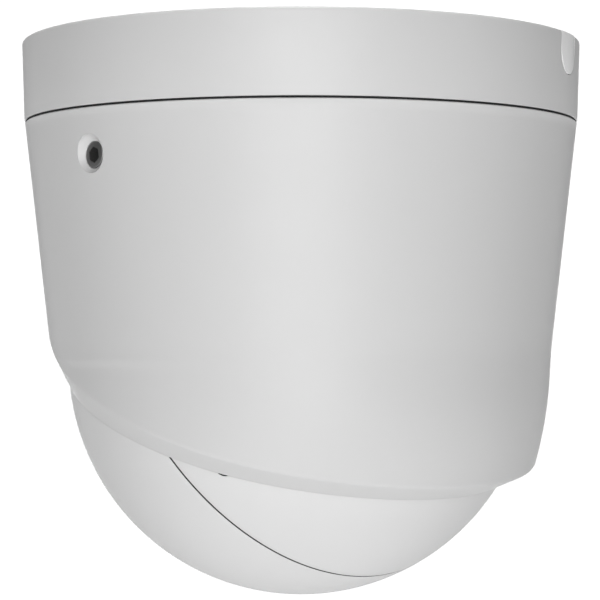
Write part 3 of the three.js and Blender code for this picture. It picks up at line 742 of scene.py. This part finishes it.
# %% [markdown]
# The back shell has a rectangular cover for the memory card, close behind the seam on the right. Only
# its corner looks out from under the rim. The cover is the same spherical wall, cut by a block with
# rounded corners, and the opening is cut by a slightly larger block.

# %% Back shell and card cover
COVER_SIZE = (14, 20)
COVER_ANGLE = 107.1
COVER_TURN = -23.0
COVER_CORNER = 1.5
COVER_GAP = 0.3
POST_RADIUS = 3.0
POST_CIRCLE = 27.0
POST_TURNS = (90, 210, 330)


def cover_block(grow):
    bm = bmesh.new()
    bmesh.ops.create_cube(bm, size=1)
    size = Vector((COVER_SIZE[0] + 2 * grow, COVER_SIZE[1] + 2 * grow, 10)) * MM
    moved(bm, Matrix.Diagonal((*size, 1)))
    upright = [edge for edge in bm.edges if abs(edge.verts[0].co.z - edge.verts[1].co.z) > MM]
    bmesh.ops.bevel(bm, geom=upright, offset=(COVER_CORNER + grow) * MM, offset_type="OFFSET", affect="EDGES",
                    segments=6, profile=0.5, material=-1, clamp_overlap=True)
    moved(bm, Matrix.Translation((0, 0, 46 * MM)))
    turn = Matrix.Rotation(math.radians(COVER_TURN), 4, "Z")
    return moved(bm, turn @ Matrix.Rotation(math.radians(COVER_ANGLE), 4, "Y"))


def on_post(bm, turn):
    return moved(bm, Matrix.Rotation(math.radians(turn), 4, "Z")
                 @ Matrix.Translation((POST_CIRCLE * MM, 0, 0)))


rear = soften(spun(
    arc(BALL_INNER, latitude(BALL_INNER, -SEAM_HALF), -82, 36)
    + arc(BALL, -82.4, latitude(BALL, -SEAM_HALF), 44), SHELL_STEPS), SEAM_BEVEL, 2)
rear = combined(rear, [on_post(rod(POST_RADIUS, -37.5, -13.2, 24), turn) for turn in POST_TURNS], "UNION")
rear_cuts = bush_holes() + [cover_block(COVER_GAP)]
rear_cuts += [on_post(rod(1.3, -24, -12, 16), turn) for turn in POST_TURNS]
piece(combined(rear, rear_cuts), "eye_back_shell", coat_ball, "white_paint", "eye", "rear_shell",
      place=eye_place)

cover_layer = spun(arc(BALL - 0.1, -60, 10, 60) + arc(44.9, 10, -60, 60), SHELL_STEPS)
cover = combined(cover_layer, [cover_block(0)], "INTERSECT")
piece(soften(cover, 0.12, 3, 50), "card_door", coat_ball, "white_paint", "eye", "card_cover",
      place=eye_place)
# A black rubber ring fills the gap round the card cover. It is partly a seal and partly painted shade: a dark ring
# put in the gap, where the shell's inside would lie in shade.
seal_and_gap_shade_layer = spun(arc(BALL - 0.15, -60, 10, 60) + arc(45.5, 10, -60, 60), SHELL_STEPS)
door_gap_shade_seal = combined(combined(seal_and_gap_shade_layer, [cover_block(COVER_GAP - 0.02)], "INTERSECT"), [cover_block(0.02)])
piece(door_gap_shade_seal, "card_door_gap_shade_seal", seal_rubber, "rubber", "eye", place=eye_place)

# %% Ball seam gasket
BEAD = SEAM_HALF - 0.01
gasket = spun([
    (43.3, -7), (44.2, -7), (45.0, -2), (45.2, -BEAD), (BALL - 0.05, -BEAD), (BALL - 0.05, BEAD),
    (45.2, BEAD), (45.0, 2), (44.2, 7), (43.3, 7),
], SHELL_STEPS)
piece(combined(gasket, bush_holes()), "eye_seam_gasket", seal_rubber, "rubber", "eye", "ball_seam_gasket",
      place=eye_place)

# %% [markdown]
# ## Behind the window
#
# A flat smoked window sits in a seal, flush with the front. Behind it a grained black mask hides the
# board. It has a stepped baffle round the lens, and a cup for each infrared LED. The baffle's steps are
# part of the spun outline, and the cups are cut with cones.

# %% Window and its seal
PANE_RADIUS = WINDOW_RADIUS - 0.2
PANE_BACK = 36.9
PANE_FRONT = 38.9
SEAL_IN = 23.8
SEAL_OUT = 25.2
pane_outline = [(0, PANE_BACK), (PANE_RADIUS, PANE_BACK), (PANE_RADIUS, PANE_FRONT), (0, PANE_FRONT)]
window = soften(spun(pane_outline, RING_STEPS), 0.25)
piece(window, "window_pane", window_glass, "window", "eye", "window_glass", place=eye_place)
window_seal = soften(spun([
    (SEAL_IN, 36.25), (SEAL_OUT, 36.25), (SEAL_OUT, 36.6), (SEAL_IN, 36.6),
], RING_STEPS), 0.1)
piece(window_seal, "window_seal", seal_rubber, "rubber", "eye", "window_gasket", place=eye_place)

# %% Mask with its baffle and LED cups
LED_COUNT = 6
LED_CIRCLE = 17.0
MASK_RADIUS = 23.1
MASK_BORE = 9.6
MASK_BACK = 32.6
MASK_FRONT = 34.2
BAFFLE_STEPS = 4
led_turns = [(number + 0.5) * 360 / LED_COUNT for number in range(LED_COUNT)]


def on_led_circle(bm, turn):
    return moved(bm, Matrix.Rotation(math.radians(turn), 4, "Z")
                 @ Matrix.Translation((LED_CIRCLE * MM, 0, 0)))


steps = []
for number in range(BAFFLE_STEPS):
    radius = 12.4 - number * 0.7
    steps += [(radius, MASK_FRONT - number * 0.25), (radius, MASK_FRONT - 0.25 - number * 0.25)]
mask_outline = [(MASK_BORE, MASK_BACK), (MASK_RADIUS, MASK_BACK), (MASK_RADIUS, MASK_FRONT)]
mask_outline += steps + [(MASK_BORE, 33.2)]
mask = soften(spun(mask_outline, RING_STEPS), 0.06, 2)
cups = [on_led_circle(spun([(0, 31), (2.8, 31), (2.8, 32.9), (4.3, 34.4), (0, 34.4)], 48), turn)
        for turn in led_turns]
cups.append(on_led_circle(rod(1.6, 30, 36, 32), 0))
cups.append(on_led_circle(rod(0.8, 30, 36, 24), 180))
piece(combined(mask, cups), "window_mask", mask_black, "black_plastic", "eye", "front_mask",
      place=eye_place)

# %% LED domes and light sensor
LED_RADIUS = 2.55
DOME_BASE = 32.6
DOME_RISE = 3.0
for number, turn in enumerate(led_turns, 1):
    dome = spun([(0, 30.7), (LED_RADIUS, 30.7), (LED_RADIUS, DOME_BASE)] + [
        (LED_RADIUS * math.cos(angle), DOME_BASE + DOME_RISE * math.sin(angle))
        for angle in (math.radians(value) for value in range(10, 91, 10))], 48)
    piece(on_led_circle(dome, turn), f"led_dome_{number}", epoxy, "led_lens", "eye", f"ir_led_{number}",
          place=eye_place)
sensor = soften(rod(1.2, 30.7, 33.6, 32), 0.3)
piece(on_led_circle(sensor, 0), "light_sensor_lens", epoxy, "led_lens", "eye", "light_sensor",
      place=eye_place)

# %% [markdown]
# The lens barrel is a stepped tube with fine grooves near its mouth, which stop stray light. Its front
# element bulges out a little, and a retaining ring holds it.

# %% Lens barrel and front element
BARREL_BORE = 8.4
BARREL_NOSE = 9.2
BARREL_BODY = 12.5
BARREL_FRONT = 35.2
grooves = []
for number in range(4):
    top = 34.6 - number * 0.5
    grooves += [(BARREL_BORE, top), (BARREL_BORE + 0.25, top - 0.15), (BARREL_BORE, top - 0.3)]
barrel_outline = [
    (BARREL_BODY, 4), (BARREL_BODY, 19), (BARREL_NOSE, 20.5), (BARREL_NOSE, BARREL_FRONT),
    (BARREL_BORE + 0.1, BARREL_FRONT),
] + grooves + [(BARREL_BORE, 4)]
barrel = soften(spun(barrel_outline[::-1]), 0.05, 2)
piece(barrel, "lens_tube", case_black, "black_plastic", "eye", "lens_barrel", place=eye_place)
GLASS_RADIUS = 8.1
GLASS_ARC = 35
GLASS_BASE = 29.2
GLASS_RISE = 6.9
bulge = []
for degrees in range(GLASS_ARC, -1, -5):
    angle = math.radians(degrees)
    reach = math.sin(angle) / math.sin(math.radians(GLASS_ARC))
    bulge.append((GLASS_RADIUS * reach, GLASS_BASE + GLASS_RISE * (math.cos(angle) - 0.25) / 0.75))
front_lens = spun([(0, 31.5), (GLASS_RADIUS, 31.5)] + bulge)
piece(front_lens, "front_lens", lens_glass, "lens_glass", "eye", "front_element", place=eye_place)

# %% [markdown]
# ## Finishes for the working parts
#
# Gears, motors, boards, screws and the turntable keep their exact shapes, because they already fit and
# move. Each takes the finish of its slot in the record.

# %% Finish the nodes that stay
slot_finish = {
    "white_paint": coat_body, "black_plastic": case_black, "rubber": seal_rubber, "steel": steel,
    "dark_steel": black_steel, "nylon": nylon, "circuit_board": board_green, "alloy": alloy,
    "window": window_glass, "lens_glass": lens_glass, "led_lens": epoxy,
}
for subpart in frame["record"]["subparts"]:
    node = frame["nodes"][subpart["node"]]
    node.data.materials.clear()
    node.data.materials.append(slot_finish[subpart["material_slot"]])

# %% [markdown]
# ## Stage and light
#
# The camera hangs in front of a pale floor and a white surround. A broad soft light comes from the
# viewer's side, so the shells are brightest there and their flanks fall away. Weaker ones at the sides,
# in front of the lens and over the ceiling face keep the other views clear, and the pale floor lifts
# the underside.

# %% Floor
FLOOR_Z = -0.30
FLOOR_RADIUS = 14.0
floor_bm = bmesh.new()
bmesh.ops.create_circle(floor_bm, cap_ends=True, segments=96, radius=FLOOR_RADIUS)
bmesh.ops.translate(floor_bm, verts=floor_bm.verts, vec=(0, 0, FLOOR_Z))
floor = as_object(floor_bm, "floor")
floor_material, floor_shader, floor_coords = new_finish("pale_floor", (0.8, 0.8, 0.8), 0.9)
floor_nodes, floor_links = floor_material.node_tree.nodes, floor_material.node_tree.links
flat = floor_nodes.new("ShaderNodeMapping")
flat.inputs["Scale"].default_value = (1, 1, 0)
floor_links.new(floor_coords, flat.inputs["Vector"])
distance = floor_nodes.new("ShaderNodeVectorMath")
distance.operation = "LENGTH"
floor_links.new(flat.outputs["Vector"], distance.inputs[0])


def glow_by_distance(start, end, near, far):
    ramp = floor_nodes.new("ShaderNodeMapRange")
    ramp.inputs["From Min"].default_value = start
    ramp.inputs["From Max"].default_value = end
    ramp.inputs["To Min"].default_value = near
    ramp.inputs["To Max"].default_value = far
    floor_links.new(distance.outputs["Value"], ramp.inputs["Value"])
    return ramp.outputs["Result"]


# Near and far distance in metres, then the glow at each: as a light, and as seen by the view
BOUNCED_GLOW = (0.1, 0.4, 0.535, 0.36)
SEEN_GLOW = (0.2, 1.4, 0.45, 1.1)
floor_path = floor_nodes.new("ShaderNodeLightPath")
floor_glow = floor_nodes.new("ShaderNodeMix")
floor_glow.data_type = "FLOAT"
floor_links.new(floor_path.outputs["Is Camera Ray"], floor_glow.inputs["Factor"])
floor_links.new(glow_by_distance(*BOUNCED_GLOW), floor_glow.inputs["A"])
floor_links.new(glow_by_distance(*SEEN_GLOW), floor_glow.inputs["B"])
floor_links.new(floor_glow.outputs["Result"], floor_shader.inputs["Emission Strength"])
floor_shader.inputs["Emission Color"].default_value = (1, 1, 1, 1)
floor.data.materials.append(floor_material)

# %% Surround: white to look at, softer as a light
SURROUND = 0.035
SURROUND_SEEN = 1.1
world = bpy.data.worlds.new("surround")
bpy.context.scene.world = world
world.use_nodes = True
world_nodes, world_links = world.node_tree.nodes, world.node_tree.links
path = world_nodes.new("ShaderNodeLightPath")
glow = world_nodes.new("ShaderNodeMapRange")
glow.inputs["To Min"].default_value = SURROUND
glow.inputs["To Max"].default_value = SURROUND_SEEN
world_links.new(path.outputs["Is Camera Ray"], glow.inputs["Value"])
world_links.new(glow.outputs["Result"], world_nodes["Background"].inputs["Strength"])
world_nodes["Background"].inputs["Color"].default_value = (1, 1, 1, 1)
bpy.context.scene.view_settings.view_transform = "Standard"


# %% Soft lights
def soft_light(name, azimuth, height, distance_m, size, power, spread):
    data = bpy.data.lights.new(name, "AREA")
    data.size = size
    data.energy = power
    data.spread = math.radians(spread)
    light = bpy.data.objects.new(name, data)
    angle = math.radians(azimuth)
    place = Vector((math.sin(angle), -math.cos(angle), 0)) * distance_m + Vector((0, 0, height))
    light.location = place
    light.rotation_euler = (ball_centre - place).to_track_quat("-Z", "Y").to_euler()
    bpy.context.scene.collection.objects.link(light)
    print(name, "at", [round(value, 2) for value in place])


# Name, azimuth in degrees, height, distance and width in metres, power in watts, spread in degrees
LIGHTS = (
    ("viewer_light", 135, 0.0, 1.4, 0.9, 14.0, 180),
    ("low_light", 135, -0.27, 0.46, 0.35, 0.27, 180),
    ("right_light", 0, 0.1, 1.4, 0.9, 2.0, 180),
    ("left_light", 270, 0.1, 1.4, 0.9, 1.4, 180),
    ("front_light", -45, -0.05, 1.4, 0.9, 11.0, 180),
    ("top_light", 0, 0.6, 0.0, 0.1, 0.08, 25),
)
for light_row in LIGHTS:
    soft_light(*light_row)
